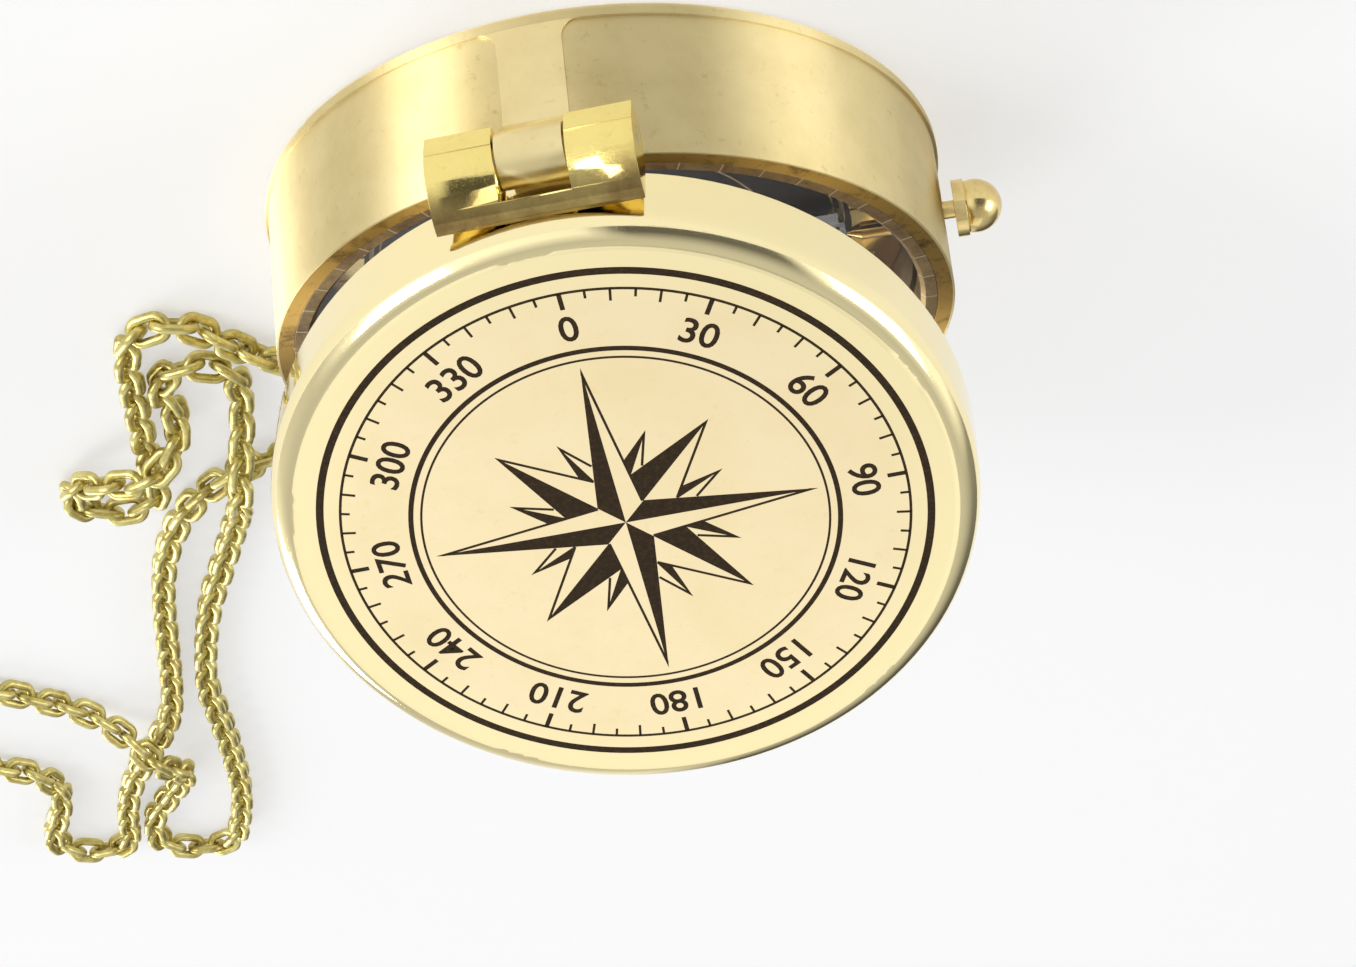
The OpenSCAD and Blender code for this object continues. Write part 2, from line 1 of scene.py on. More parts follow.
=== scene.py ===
"""Looks of the pocket compass: finishes, engraving, dial print, chain, studio and camera.

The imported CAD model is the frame. Sizes are in millimetres, and MM turns them to metres.
"""

import math

import bpy
import numpy as np
from mathutils import Matrix, Vector


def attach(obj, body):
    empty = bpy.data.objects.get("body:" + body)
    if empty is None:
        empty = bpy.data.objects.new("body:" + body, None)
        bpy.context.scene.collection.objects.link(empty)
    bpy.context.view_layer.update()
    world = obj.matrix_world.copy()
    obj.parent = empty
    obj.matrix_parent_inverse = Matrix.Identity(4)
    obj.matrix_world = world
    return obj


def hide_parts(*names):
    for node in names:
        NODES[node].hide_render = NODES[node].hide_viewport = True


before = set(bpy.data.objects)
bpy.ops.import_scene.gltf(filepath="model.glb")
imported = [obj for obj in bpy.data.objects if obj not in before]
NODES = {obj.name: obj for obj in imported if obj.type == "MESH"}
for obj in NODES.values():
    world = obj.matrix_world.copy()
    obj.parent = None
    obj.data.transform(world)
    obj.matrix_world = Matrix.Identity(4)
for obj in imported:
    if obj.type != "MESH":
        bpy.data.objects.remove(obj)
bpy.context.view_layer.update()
SCENE = bpy.context.scene
MM = 0.001

# Camera, fitted to the photograph's 1356 x 967 frame.
PHOTO_WIDTH = 1356
FOCAL_PIXELS = 3679.2
SENSOR_WIDTH = 36
CAMERA_AT = Vector((-56.13, -351.34, 215.20)) * MM
CAMERA_LOOK = Vector((0.12929, 0.88522, -0.44684))
CAMERA_UP = Vector((-0.17565, -0.42305, -0.88892))

# Places that repeat the CAD's own values.
LID_OPEN = math.radians(26)
HINGE = Vector((0, -41.1, 19.5)) * MM
CASE_R = 37.5
LID_TOP = 28.15
RING_LINE_DEPTH = 0.15
RING_LINE_R = 32.15
RING_LINE_W = 0.8
DIAL_TOP = 6.0
DEGREE_RING_TOP = 7.4
SLOT_W = 7.5

# Where the slot between the knuckles ends on the closed lid, and how far a cutter reaches.
SLOT_TOP = 24.9
SLOT_REACH = 12

# Thickness of the engraving's fill and of the print on the dial, how far the print's middle
# lies above its ground, and how far the ring line's fill stands out, up and sideways.
INK_THICK = 0.03
INK_RISE = 0.005
FILL_RISE = 0.02

# Radius of the outer circle of the scale on the lid.
SCALE_R = 30.0

# Capitals are this share of a letter's full size.
CAPITAL_SHARE = 0.7

# Short pale marks round the retaining ring, and the share of the way round that they cover.
RING_TICKS = 48
RING_TICK_SHARE = 0.04

# The case's machined inside: where it starts, and the height below which shade is painted on it.
MACHINED_R = 37.25
MACHINED_LOW = 2.2
SHADED_WELL_TOP = 15.5

# Depth of the finest marks in metal.
BUMP_DEPTH = 0.012

# The studio, its sizes in metres: half the floor's side, how far what is seen of it is lifted
# to white, the world's brightness by share of a turn and by height, and the lamps by name,
# place, size and brightness.
FLOOR_HALF = 4
FLOOR_LIFT = 0.5
SIDES = (
    (0.0, 1.1), (0.09, 1.1), (0.115, 0.16), (0.225, 0.12), (0.25, 1.0), (0.38, 1.3),
    (0.46, 0.6), (0.53, 0.7), (0.60, 1.3), (0.64, 0.5), (0.715, 0.9), (0.735, 0.10),
    (0.80, 0.10), (0.86, 0.2), (0.91, 0.3), (0.95, 1.1), (1.0, 1.1),
)
OVERHEAD = ((0.8, 0.55), (0.962, 0.60), (0.993, 0.43), (1.0, 0.38))
SIDES_TO_OVERHEAD = ((0.35, 0), (0.8, 1))
SOFTBOXES = (
    ("softbox_top", (0.3, 0.5, 2.2), (1.8, 1.8), 0.43),
    ("strip_front_left", (1.45, -1.45, 0.75), (0.8, 1.3), 6.5),
    ("strip_back_left", (1.6, 1.2, 0.75), (0.8, 1.3), 5.5),
    ("strip_right", (-2.0, -0.5, 0.75), (1.1, 1.3), 2.2),
)

# The chain's links, and the route of their middle line.
LINK_WIRE = 1.2
LINK_L = 6.0
LINK_W = 4.05
LINK_PITCH = 3.05
LINK_LEAN = 45
TURN_LINKS = 6
ROUTE_STEPS = 8
CHAIN_ROUTE = [
    (39.5, 24.5, 2.8), (44.0, 20.5, 2.2), (47.5, 16.5, 1.8), (49.8, 12.2, 1.8),
    (52.2, 9.0, 1.8), (55.3, 8.0, 1.8), (58.5, 9.4, 1.8), (60.6, 13.4, 1.8),
    (62.2, 19.5, 1.8), (64.2, 28.5, 1.8), (66.2, 37.5, 1.8), (67.4, 45.2, 1.8),
    (69.4, 49.5, 1.8), (73.2, 51.2, 1.8), (77.0, 49.8, 1.8), (78.6, 46.0, 1.8),
    (76.8, 41.7, 2.4), (72.2, 38.9, 4.4), (66.4, 37.2, 5.7), (61.8, 34.2, 3.8),
    (59.8, 29.2, 2.0), (59.6, 23.4, 1.8), (58.2, 19.9, 1.8), (54.9, 18.4, 1.8),
    (51.7, 19.9, 1.8), (50.4, 23.4, 1.8), (51.7, 30.0, 1.8), (54.3, 38.0, 3.2),
    (57.0, 46.0, 5.6), (59.5, 54.0, 3.2), (63.5, 63.5, 1.8), (67.5, 72.0, 1.8),
    (72.0, 81.5, 1.8), (76.5, 93.5, 1.8), (80.5, 106.5, 1.8), (82.5, 118.5, 1.8),
    (84.4, 130.0, 1.8), (88.0, 147.0, 1.8), (92.2, 159.3, 1.8), (94.6, 164.0, 1.8),
    (98.5, 166.0, 1.8), (103.0, 164.0, 1.8), (105.0, 159.5, 1.8), (103.0, 151.0, 1.8),
    (97.0, 142.0, 1.8), (92.5, 133.0, 3.2), (93.5, 123.0, 5.6), (96.5, 114.5, 3.2),
    (100.0, 108.5, 1.8), (104.0, 102.5, 1.8), (108.5, 97.0, 1.8), (114.0, 94.0, 1.8),
    (120.0, 95.0, 1.8), (124.5, 99.5, 1.8), (126.0, 107.0, 1.8), (123.5, 115.5, 1.8),
    (118.0, 122.5, 1.8), (113.5, 128.0, 1.8), (112.5, 135.0, 1.8), (115.0, 142.5, 1.8),
    (118.5, 149.5, 1.8), (119.5, 154.5, 1.8), (117.5, 159.0, 1.8), (113.0, 160.5, 1.8),
    (109.0, 157.0, 1.8), (106.0, 147.0, 1.8), (101.0, 135.5, 1.8), (94.5, 125.0, 1.8),
    (89.5, 116.5, 1.8), (86.0, 107.5, 1.8), (81.5, 92.0, 1.8), (77.0, 76.5, 1.8),
    (72.5, 64.5, 1.8), (67.5, 55.5, 1.8), (62.0, 49.5, 1.8), (56.0, 45.5, 1.8),
    (49.5, 44.0, 1.8), (43.0, 40.5, 1.8), (38.5, 35.5, 2.2), (36.8, 29.0, 2.6),
]


def srgb(red, green, blue):
    """A colour as it is seen, 0 to 255, as Blender's linear colour."""
    shares = [c / 255 for c in (red, green, blue)]
    linear = [c / 12.92 if c <= 0.04045 else ((c + 0.055) / 1.055) ** 2.4 for c in shares]
    return (*linear, 1)


def make_camera():
    data = bpy.data.cameras.new("camera")
    data.sensor_width = SENSOR_WIDTH
    data.lens = FOCAL_PIXELS / PHOTO_WIDTH * SENSOR_WIDTH
    data.clip_start = 0.01
    data.clip_end = 50
    camera = bpy.data.objects.new("camera", data)
    SCENE.collection.objects.link(camera)
    back = -CAMERA_LOOK.normalized()
    right = CAMERA_UP.cross(back).normalized()
    axes = Matrix((right, back.cross(right), back)).transposed()
    camera.matrix_world = Matrix.Translation(CAMERA_AT) @ axes.to_4x4()
    SCENE.camera = camera


def mesh_object(name, points, faces, smooth=True):
    mesh = bpy.data.meshes.new(name)
    mesh.from_pydata([tuple(p) for p in points], [], faces)
    mesh.update()
    if smooth:
        mesh.shade_smooth()
    piece = bpy.data.objects.new(name, mesh)
    SCENE.collection.objects.link(piece)
    return piece


# Chain

def smooth_point(a, b, c, d, t):
    """The point at share t of a smooth curve from b to c."""
    return (2 * b + (c - a) * t + (2 * a - 5 * b + 4 * c - d) * t**2
            + (3 * b - a - 3 * c + d) * t**3) / 2


def route_points():
    knots = np.array(CHAIN_ROUTE)
    last = len(knots) - 1
    fine = [
        smooth_point(knots[max(i - 1, 0)], knots[i], knots[i + 1], knots[min(i + 2, last)],
                     j / ROUTE_STEPS)
        for i in range(last)
        for j in range(ROUTE_STEPS)
    ]
    return np.array([*fine, knots[last]])


def link_shape():
    """Points and faces of one link, flat in XY and long in X. Its wire narrows at the joint."""
    around, across = 40, 12
    joint_share = 0.86
    arc_r = (LINK_W - LINK_WIRE) / 2
    half = (LINK_L - LINK_W) / 2
    half_l = math.pi * arc_r + 2 * half
    points, faces = [], []
    for i in range(around):
        side = 1 if i < around / 2 else -1
        s = half_l * (i % (around // 2)) / (around / 2)
        angle = min(s / arc_r, math.pi) - math.pi / 2
        middle = Vector((half + arc_r * math.cos(angle), arc_r * math.sin(angle), 0))
        middle.x -= max(0, s - math.pi * arc_r)
        out = Vector((math.cos(angle), math.sin(angle), 0))
        wire_r = LINK_WIRE / 2 * (joint_share if i == around // 4 else 1)
        for j in range(across):
            a = 2 * math.pi * j / across
            p = middle + out * (wire_r * math.cos(a)) + Vector((0, 0, wire_r * math.sin(a)))
            points.append((side * p.x, side * p.y, p.z))
    for i in range(around):
        ahead = (i + 1) % around
        for j in range(across):
            k = (j + 1) % across
            faces.append((i * across + j, ahead * across + j, ahead * across + k, i * across + k))
    return np.array(points), faces


def make_chain():
    route = route_points()
    steps = np.linalg.norm(np.diff(route, axis=0), axis=1)
    run = np.concatenate([[0], np.cumsum(steps)])
    count = 2 * int(run[-1] / LINK_PITCH / 2) + 1
    step = run[-1] / (count - 1)

    def on_route(s):
        s = min(max(s, 0), run[-1])
        return np.array([np.interp(s, run, route[:, axis]) for axis in range(3)])

    shape, link_faces = link_shape()
    points, faces = [], []
    for i in range(count):
        aim = on_route((i + 0.5) * step) - on_route((i - 0.5) * step)
        near_end = max(0, 1 - min(i, count - 1 - i) / TURN_LINKS)
        roll = math.radians(LINK_LEAN * ((1 if i % 2 == 0 else -1) - near_end))
        pitch = -math.asin(aim[2] / np.linalg.norm(aim))
        yaw = math.atan2(aim[1], aim[0])
        turn = (Matrix.Rotation(yaw, 3, "Z") @ Matrix.Rotation(pitch, 3, "Y")
                @ Matrix.Rotation(roll, 3, "X"))
        first = len(points)
        points.extend((shape @ np.array(turn).T + on_route(i * step)) * MM)
        faces.extend(tuple(first + v for v in face) for face in link_faces)
    chain = mesh_object("chain", points, faces)
    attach(chain, "case")
    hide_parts("chain_near_loops", "chain_run_out", "chain_far_loop", "chain_run_back")
    return chain


# Hinge

def open_lid():
    """Turns places on the closed lid to where they are on the open one."""
    turn = Matrix.Translation(HINGE) @ Matrix.Rotation(LID_OPEN, 4, "X")
    return turn @ Matrix.Translation(-HINGE)


def make_knuckles():
    """The lid's hinge block, with its slot cut on until only a thin bridge is left."""
    x, y = SLOT_W / 2, (-CASE_R - SLOT_REACH, -CASE_R + 0.5)
    z = (SLOT_TOP - SLOT_REACH / 2, SLOT_TOP)
    corners = [(i * x, j, k) for i in (-1, 1) for j in y for k in z]
    sides = [(0, 1, 3, 2), (4, 6, 7, 5), (0, 4, 5, 1), (2, 3, 7, 6), (0, 2, 6, 4), (1, 5, 7, 3)]
    cutter = mesh_object("cutter", [open_lid() @ (Vector(c) * MM) for c in corners], sides)
    block = bpy.data.objects.new("block", NODES["hinge_block"].data.copy())
    SCENE.collection.objects.link(block)
    block.matrix_world = NODES["hinge_block"].matrix_world
    cut = block.modifiers.new("slot", "BOOLEAN")
    cut.object = cutter
    bpy.context.view_layer.update()
    made = block.evaluated_get(bpy.context.evaluated_depsgraph_get())
    mesh = bpy.data.meshes.new_from_object(made)
    mesh.materials.clear()
    mesh.transform(block.matrix_world)
    for holder in (block, cutter):
        bpy.data.objects.remove(holder)
    knuckles = bpy.data.objects.new("hinge_knuckles", mesh)
    SCENE.collection.objects.link(knuckles)
    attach(knuckles, "lid")
    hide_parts("hinge_block")
    return knuckles


# Nodes

class Tree:
    """Short calls that add nodes. An input takes a value or another node's output."""

    def __init__(self, owner):
        owner.use_nodes = True
        self.tree = owner.node_tree
        self.tree.nodes.clear()

    def add(self, kind, inputs=None, **settings):
        node = self.tree.nodes.new(kind)
        for name, value in settings.items():
            setattr(node, name, value)
        for name, value in (inputs or {}).items():
            if isinstance(value, bpy.types.NodeSocket):
                self.tree.links.new(value, node.inputs[name])
            else:
                node.inputs[name].default_value = value
        return node

    def math(self, operation, *values, clamp=False):
        settings = {"operation": operation, "use_clamp": clamp}
        return self.add("ShaderNodeMath", dict(enumerate(values)), **settings).outputs[0]

    def ramp(self, value, *stops):
        """A colour or a grey for each place along value: pairs of place and colour."""
        node = self.add("ShaderNodeValToRGB", {"Fac": value})
        while len(node.color_ramp.elements) < len(stops):
            node.color_ramp.elements.new(1)
        for element, (place, colour) in zip(node.color_ramp.elements, stops):
            element.position = place
            element.color = colour if hasattr(colour, "__len__") else (colour,) * 3 + (1,)
        return node.outputs["Color"]

    def mix(self, share, first, second):
        inputs = {0: share, 6: first, 7: second}
        return self.add("ShaderNodeMix", inputs, data_type="RGBA").outputs[2]

    def noise(self, vector, size, detail=3, roughness=0.5, stretch=(1, 1, 1)):
        """Soft noise whose lumps are about size millimetres, times stretch."""
        scale = tuple(1 / (size * MM * s) for s in stretch)
        placed = self.add("ShaderNodeMapping", {"Vector": vector, "Scale": scale}).outputs[0]
        inputs = {"Vector": placed, "Scale": 1, "Detail": detail, "Roughness": roughness}
        return self.add("ShaderNodeTexNoise", inputs).outputs["Fac"]

    def finish(self, shader):
        self.add("ShaderNodeOutputMaterial", {"Surface": shader.outputs[0]})


def closed_lid_place(tree, place):
    """Turns a place on the open lid back to where it is on the closed lid."""
    turn = Matrix.Rotation(-LID_OPEN, 3, "X")
    shift = HINGE - turn @ HINGE
    inputs = {"Vector": place, "Rotation": (-LID_OPEN, 0, 0), "Location": shift}
    return tree.add("ShaderNodeMapping", inputs).outputs[0]


def round_place(tree, place):
    """Radius from the case's axis, angle round it and height, each as an output."""
    split = tree.add("ShaderNodeSeparateXYZ", {0: place}).outputs
    flat = tree.add("ShaderNodeCombineXYZ", {"X": split["X"], "Y": split["Y"]}).outputs[0]
    radius = tree.add("ShaderNodeVectorMath", {0: flat}, operation="LENGTH").outputs["Value"]
    angle = tree.math("ARCTAN2", split["Y"], split["X"])
    return radius, angle, split["Z"]


def hairlines(tree, place, size, turns, sharpness):
    """Fine straight scratches that run in several directions, 0 to 1."""
    total = None
    for turn in turns:
        turned = tree.add("ShaderNodeMapping", {
            "Vector": place, "Rotation": (turn / 3, turn / 5, turn),
        }).outputs[0]
        lines = tree.noise(turned, size, detail=1, stretch=(60, 1, 1))
        kept = tree.math("MULTIPLY", tree.math("SUBTRACT", lines, sharpness), 9, clamp=True)
        total = kept if total is None else tree.math("MAXIMUM", total, kept)
    return total


# Finishes

def polished_brass(name, colour, tarnish, on_lid=False, roughness=0.13, spread=0.09,
                   turned=0.0, scratches=0.5, anisotropic=0.0, clouds_size=14, edge_r=0.12,
                   axis="Z", inner=None, margin=None, low=None):
    """Polished brass with soft tarnish, hairline scratches and faint lathe lines.

    inner is the colour, the dark colour and the colour under the glass of the machined inside
    of the case, the last a painted shade; margin the colour outside the lid's ring line, and low
    the colour of a painted shade on the hinge block's far end.
    """
    material = bpy.data.materials.new(name)
    tree = Tree(material)
    place = tree.add("ShaderNodeTexCoord").outputs["Object"]
    if on_lid:
        place = closed_lid_place(tree, place)
    radius, angle, height = round_place(tree, place)

    clouds = tree.noise(place, clouds_size, detail=5, roughness=0.62)
    specks = tree.noise(place, 1.3, detail=4, roughness=0.7)
    cloud_share = tree.ramp(clouds, (0.42, 0), (0.75, 0.45))
    speck_share = tree.ramp(specks, (0.6, 0), (0.78, 0.5))
    share = tree.math("ADD", cloud_share, speck_share, clamp=True)
    base = tree.mix(share, colour, tarnish)

    lines = hairlines(tree, place, 0.09, (0.3, 1.4, 2.5), 0.66)
    lathe_place = tree.add("ShaderNodeCombineXYZ", {
        "X": radius, "Y": tree.math("MULTIPLY", angle, 0.002), "Z": height,
    }).outputs[0]
    lathe = tree.noise(lathe_place, 0.16, detail=3, roughness=0.65)

    rough = tree.math("ADD", roughness, tree.math("MULTIPLY", share, spread))
    rough = tree.math("ADD", rough, tree.math("MULTIPLY", lines, 0.12))
    height_map = tree.math("ADD", tree.math("MULTIPLY", lathe, turned),
                           tree.math("MULTIPLY", lines, -scratches))
    if inner:
        inside = tree.math("LESS_THAN", radius, MACHINED_R * MM)
        above = tree.math("GREATER_THAN", height, MACHINED_LOW * MM)
        inside = tree.math("MULTIPLY", inside, above)
        stain = tree.noise(place, 3.2, detail=5, roughness=0.7)
        stain_and_shade = tree.mix(tree.ramp(stain, (0.5, 0), (0.7, 1)), inner[0], inner[1])
        # Painted shade: below this height, under the glass, the machined wall takes inner[2], a dark
        # brown standing in for the shade in the well.
        stain_and_shade = tree.mix(tree.math("LESS_THAN", height, SHADED_WELL_TOP * MM), stain_and_shade, inner[2])
        base = tree.mix(inside, base, stain_and_shade)
        rough = tree.math("ADD", rough, tree.math("MULTIPLY", inside, 0.14))
        height_map = tree.math("ADD", height_map, tree.math("MULTIPLY", inside, lathe))
    if margin:
        outside = tree.ramp(tree.math("MULTIPLY", radius, 20), (0.56, 0), (0.68, 1))
        base = tree.mix(outside, base, margin)
    # Painted shade: the hinge block's far end fades to low, a dark colour that stands in for the
    # shadow and dark surroundings it would mirror.
    if low:
        shaded_far_end = tree.math("MULTIPLY", height, 30)
        shaded_far_end = tree.math("ADD", shaded_far_end, tree.math("MULTIPLY", clouds, 0.08))
        base = tree.mix(tree.ramp(shaded_far_end, (0.73, 0), (0.80, 1)), base, low)
    bump_inputs = {"Strength": 0.35, "Distance": BUMP_DEPTH * MM, "Height": height_map}
    if edge_r:
        bump_inputs["Normal"] = tree.add(
            "ShaderNodeBevel", {"Radius": edge_r * MM}, samples=4).outputs[0]
    bump = tree.add("ShaderNodeBump", bump_inputs).outputs[0]
    inputs = {"Base Color": base, "Metallic": 1.0, "Roughness": rough, "Normal": bump,
              "Anisotropic": anisotropic, "Anisotropic Rotation": 0.25}
    if anisotropic:
        inputs["Tangent"] = tree.add("ShaderNodeTangent", axis=axis).outputs[0]
    tree.finish(tree.add("ShaderNodeBsdfPrincipled", inputs))
    return material


def rim_brass():
    """Grey-brown machined brass with fine circular lines, short pale ticks and dark spots."""
    material = bpy.data.materials.new("rim_brass")
    tree = Tree(material)
    place = tree.add("ShaderNodeTexCoord").outputs["Object"]
    radius, angle, height = round_place(tree, place)
    lathe_place = tree.add("ShaderNodeCombineXYZ", {
        "X": radius, "Y": tree.math("MULTIPLY", angle, 0.004), "Z": height,
    }).outputs[0]
    lathe = tree.noise(lathe_place, 0.12, detail=4, roughness=0.7)
    stain = tree.noise(place, 3.2, detail=5, roughness=0.7)
    spots = tree.noise(place, 0.8, detail=2)
    base = tree.mix(tree.ramp(stain, (0.4, 0), (0.65, 1)), srgb(188, 160, 112), srgb(138, 114, 82))
    base = tree.mix(tree.ramp(lathe, (0.4, 0), (0.75, 0.45)), base, srgb(110, 82, 38))
    base = tree.mix(tree.ramp(spots, (0.7, 0), (0.76, 0.9)), base, srgb(52, 38, 18))
    place_on_ring = tree.math("FRACT", tree.math("MULTIPLY", angle, RING_TICKS / 2 / math.pi))
    base = tree.mix(tree.math("LESS_THAN", place_on_ring, RING_TICK_SHARE), base, srgb(226, 206, 170))
    rough = tree.math("ADD", 0.24, tree.math("MULTIPLY", stain, 0.16))
    edge = tree.add("ShaderNodeBevel", {"Radius": 0.1 * MM}, samples=4).outputs[0]
    bump = tree.add("ShaderNodeBump", {
        "Strength": 0.6, "Distance": 0.02 * MM, "Height": lathe, "Normal": edge,
    }).outputs[0]
    tree.finish(tree.add("ShaderNodeBsdfPrincipled", {
        "Base Color": base, "Metallic": 1.0, "Roughness": rough, "Normal": bump,
    }))
    return material


def satin_metal(name, colour, dark, roughness, grain):
    """Satin metal whose colour and gloss vary a little over grain millimetres."""
    material = bpy.data.materials.new(name)
    tree = Tree(material)
    place = tree.add("ShaderNodeTexCoord").outputs["Object"]
    wear = tree.noise(place, grain, detail=4, roughness=0.65)
    fine = tree.noise(place, grain / 12, detail=2)
    base = tree.mix(tree.ramp(wear, (0.4, 0), (0.68, 1)), colour, dark)
    rough = tree.math("ADD", roughness, tree.math("MULTIPLY", fine, 0.12))
    bump = tree.add("ShaderNodeBump", {
        "Strength": 0.4, "Distance": BUMP_DEPTH * MM, "Height": fine,
    }).outputs[0]
    tree.finish(tree.add("ShaderNodeBsdfPrincipled", {
        "Base Color": base, "Metallic": 1.0, "Roughness": rough, "Normal": bump,
    }))
    return material


def ink(name, colour, worn):
    """Engraving fill or print, a little uneven."""
    material = bpy.data.materials.new(name)
    tree = Tree(material)
    place = tree.add("ShaderNodeTexCoord").outputs["Object"]
    uneven = tree.noise(place, 0.5, detail=4, roughness=0.7)
    base = tree.mix(tree.ramp(uneven, (0.45, 0), (0.75, 1)), colour, worn)
    rough = tree.math("ADD", 0.5, tree.math("MULTIPLY", uneven, 0.25))
    tree.finish(tree.add("ShaderNodeBsdfPrincipled", {
        "Base Color": base, "Roughness": rough, "Specular IOR Level": 0.2,
    }))
    return material


def dial_paint():
    """Dark brown enamel with a faint mottling."""
    material = bpy.data.materials.new("dial_paint")
    tree = Tree(material)
    place = tree.add("ShaderNodeTexCoord").outputs["Object"]
    mottle = tree.noise(place, 6, detail=5, roughness=0.6)
    base = tree.mix(tree.ramp(mottle, (0.35, 0), (0.75, 1)), srgb(52, 36, 26),
                    srgb(38, 26, 20))
    rough = tree.math("ADD", 0.32, tree.math("MULTIPLY", mottle, 0.1))
    tree.finish(tree.add("ShaderNodeBsdfPrincipled", {
        "Base Color": base, "Roughness": rough, "Specular IOR Level": 0.2,
    }))
    return material


def needle_finish():
    """Blued steel on the north half, bright steel on the south half."""
    material = bpy.data.materials.new("blued_steel")
    tree = Tree(material)
    place = tree.add("ShaderNodeTexCoord").outputs["Object"]
    split = tree.add("ShaderNodeSeparateXYZ", {0: place}).outputs
    north = tree.math("GREATER_THAN", split["Y"], 0)
    grain = tree.noise(place, 0.12, detail=2, stretch=(1, 30, 1))
    blue = tree.mix(grain, srgb(24, 48, 128), srgb(46, 86, 176))
    bright = tree.mix(grain, srgb(206, 208, 210), srgb(232, 233, 234))
    base = tree.mix(north, bright, blue)
    tree.finish(tree.add("ShaderNodeBsdfPrincipled", {
        "Base Color": base, "Metallic": 1.0, "Roughness": 0.2,
    }))
    return material


def glass_finish():
    """Clear glass with a trace of fine dust."""
    material = bpy.data.materials.new("glass")
    tree = Tree(material)
    place = tree.add("ShaderNodeTexCoord").outputs["Object"]
    dust = tree.ramp(tree.noise(place, 0.6, detail=4, roughness=0.8), (0.68, 0), (0.8, 0.12))
    tree.finish(tree.add("ShaderNodeBsdfPrincipled", {
        "Base Color": (0.99, 0.985, 0.96, 1), "Roughness": dust,
        "Transmission Weight": 1.0, "IOR": 1.28,
    }))
    return material


def jewel_finish():
    material = bpy.data.materials.new("jewel")
    tree = Tree(material)
    place = tree.add("ShaderNodeTexCoord").outputs["Object"]
    cloud = tree.noise(place, 0.5, detail=3)
    base = tree.mix(cloud, srgb(150, 20, 48), srgb(196, 52, 84))
    tree.finish(tree.add("ShaderNodeBsdfPrincipled", {
        "Base Color": base, "Roughness": 0.06, "Transmission Weight": 0.5, "IOR": 1.76,
    }))
    return material


def dress(material, *names):
    for name in names:
        NODES[name].data.materials.clear()
        NODES[name].data.materials.append(material)


def dress_nodes(chain, knuckles):
    case_colour = srgb(246, 228, 172)
    lid_colour = srgb(252, 234, 190)
    tarnish = srgb(206, 184, 118)
    # The last of these colours is painted shade in the well under the glass.
    machined = (srgb(196, 160, 84), srgb(112, 84, 42), srgb(78, 54, 34))
    dress(polished_brass("case_brass", case_colour, tarnish, roughness=0.46, turned=0.5,
                         anisotropic=0.96, inner=machined), "case_body")
    dress(polished_brass("leaf_brass", case_colour, tarnish, roughness=0.3,
                         anisotropic=0.9), "hinge_leaf")
    dress(polished_brass("lid_brass", lid_colour, srgb(240, 218, 160), on_lid=True,
                         roughness=0.07, scratches=0.25, edge_r=0,
                         margin=srgb(255, 240, 187)), "lid_shell")
    dress(polished_brass("lid_inner_brass", srgb(206, 174, 108), srgb(156, 122, 70), on_lid=True,
                         roughness=0.32, turned=0.8, anisotropic=0.8), "lid_inner_plate")
    # low is painted shade on the knuckles' far end.
    knuckle_brass = polished_brass("knuckle_brass", srgb(250, 230, 144), srgb(226, 198, 112),
                                   on_lid=True, roughness=0.08, clouds_size=9, scratches=1.0,
                                   low=srgb(128, 104, 64))
    knuckles.data.materials.append(knuckle_brass)
    dress(polished_brass("knob_brass", srgb(238, 214, 148), srgb(168, 138, 74), roughness=0.16,
                         clouds_size=3, anisotropic=0.6, axis="X"), "lock_knob", "knob_bush")
    dress(polished_brass("bright_brass", srgb(240, 218, 150), srgb(206, 178, 100),
                         roughness=0.12), "degree_ring", "needle_cap")
    dress(polished_brass("plain_brass", case_colour, tarnish, roughness=0.2),
          "dial_pillars", "pivot_post", "lever_bracket", "chain_stud")
    dress(rim_brass(), "retaining_ring")
    chain_brass = satin_metal("chain_brass", srgb(226, 214, 142), srgb(180, 162, 92), 0.33, 2.4)
    chain.data.materials.append(chain_brass)
    dress(chain_brass, "bail_ring", "jump_rings")
    dress(satin_metal("steel", srgb(206, 208, 210), srgb(168, 170, 174), 0.2, 1.5),
          "dial_screws", "pivot_point", "lever_screw", "lever_pin", "brake_lever",
          "spindle_clip", "hinge_pin")
    dress(needle_finish(), "needle")
    dress(dial_paint(), "dial_plate")
    dress(jewel_finish(), "cap_jewel")
    dress(glass_finish(), "glass")


# Engraving and print. A shape is its points, in millimetres in XY, and its faces.

def polar(radius, degrees):
    """A point of a design, whose north is +Y."""
    angle = math.radians(90 - degrees)
    return np.array([radius * math.cos(angle), radius * math.sin(angle)])


def plate(outline):
    """A thin plate over an outline that is convex."""
    n = len(outline)
    turned = np.cross(outline[1] - outline[0], outline[2] - outline[0])
    ordered = outline if turned > 0 else outline[::-1]
    points = [(p[0], p[1], z) for z in (-INK_THICK / 2, INK_THICK / 2) for p in ordered]
    sides = [(i, (i + 1) % n, (i + 1) % n + n, i + n) for i in range(n)]
    return points, [tuple(reversed(range(n))), tuple(range(n, 2 * n)), *sides]


def ring(radius, width, thick=INK_THICK):
    """A flat ring."""
    n = 180
    points = [
        (*polar(r, -360 * i / n), z)
        for r, z in (
            (radius - width / 2, -thick / 2), (radius + width / 2, -thick / 2),
            (radius + width / 2, thick / 2), (radius - width / 2, thick / 2),
        )
        for i in range(n)
    ]
    faces = [
        (i + n * j, i + n * ((j + 1) % 4), (i + 1) % n + n * ((j + 1) % 4), (i + 1) % n + n * j)
        for j in range(4)
        for i in range(n)
    ]
    return points, faces


def tick(inner, outer, width, degrees):
    across = polar(width / 2, degrees + 90)
    low, high = polar(inner, degrees), polar(outer, degrees)
    return plate([low - across, high - across, high + across, low + across])


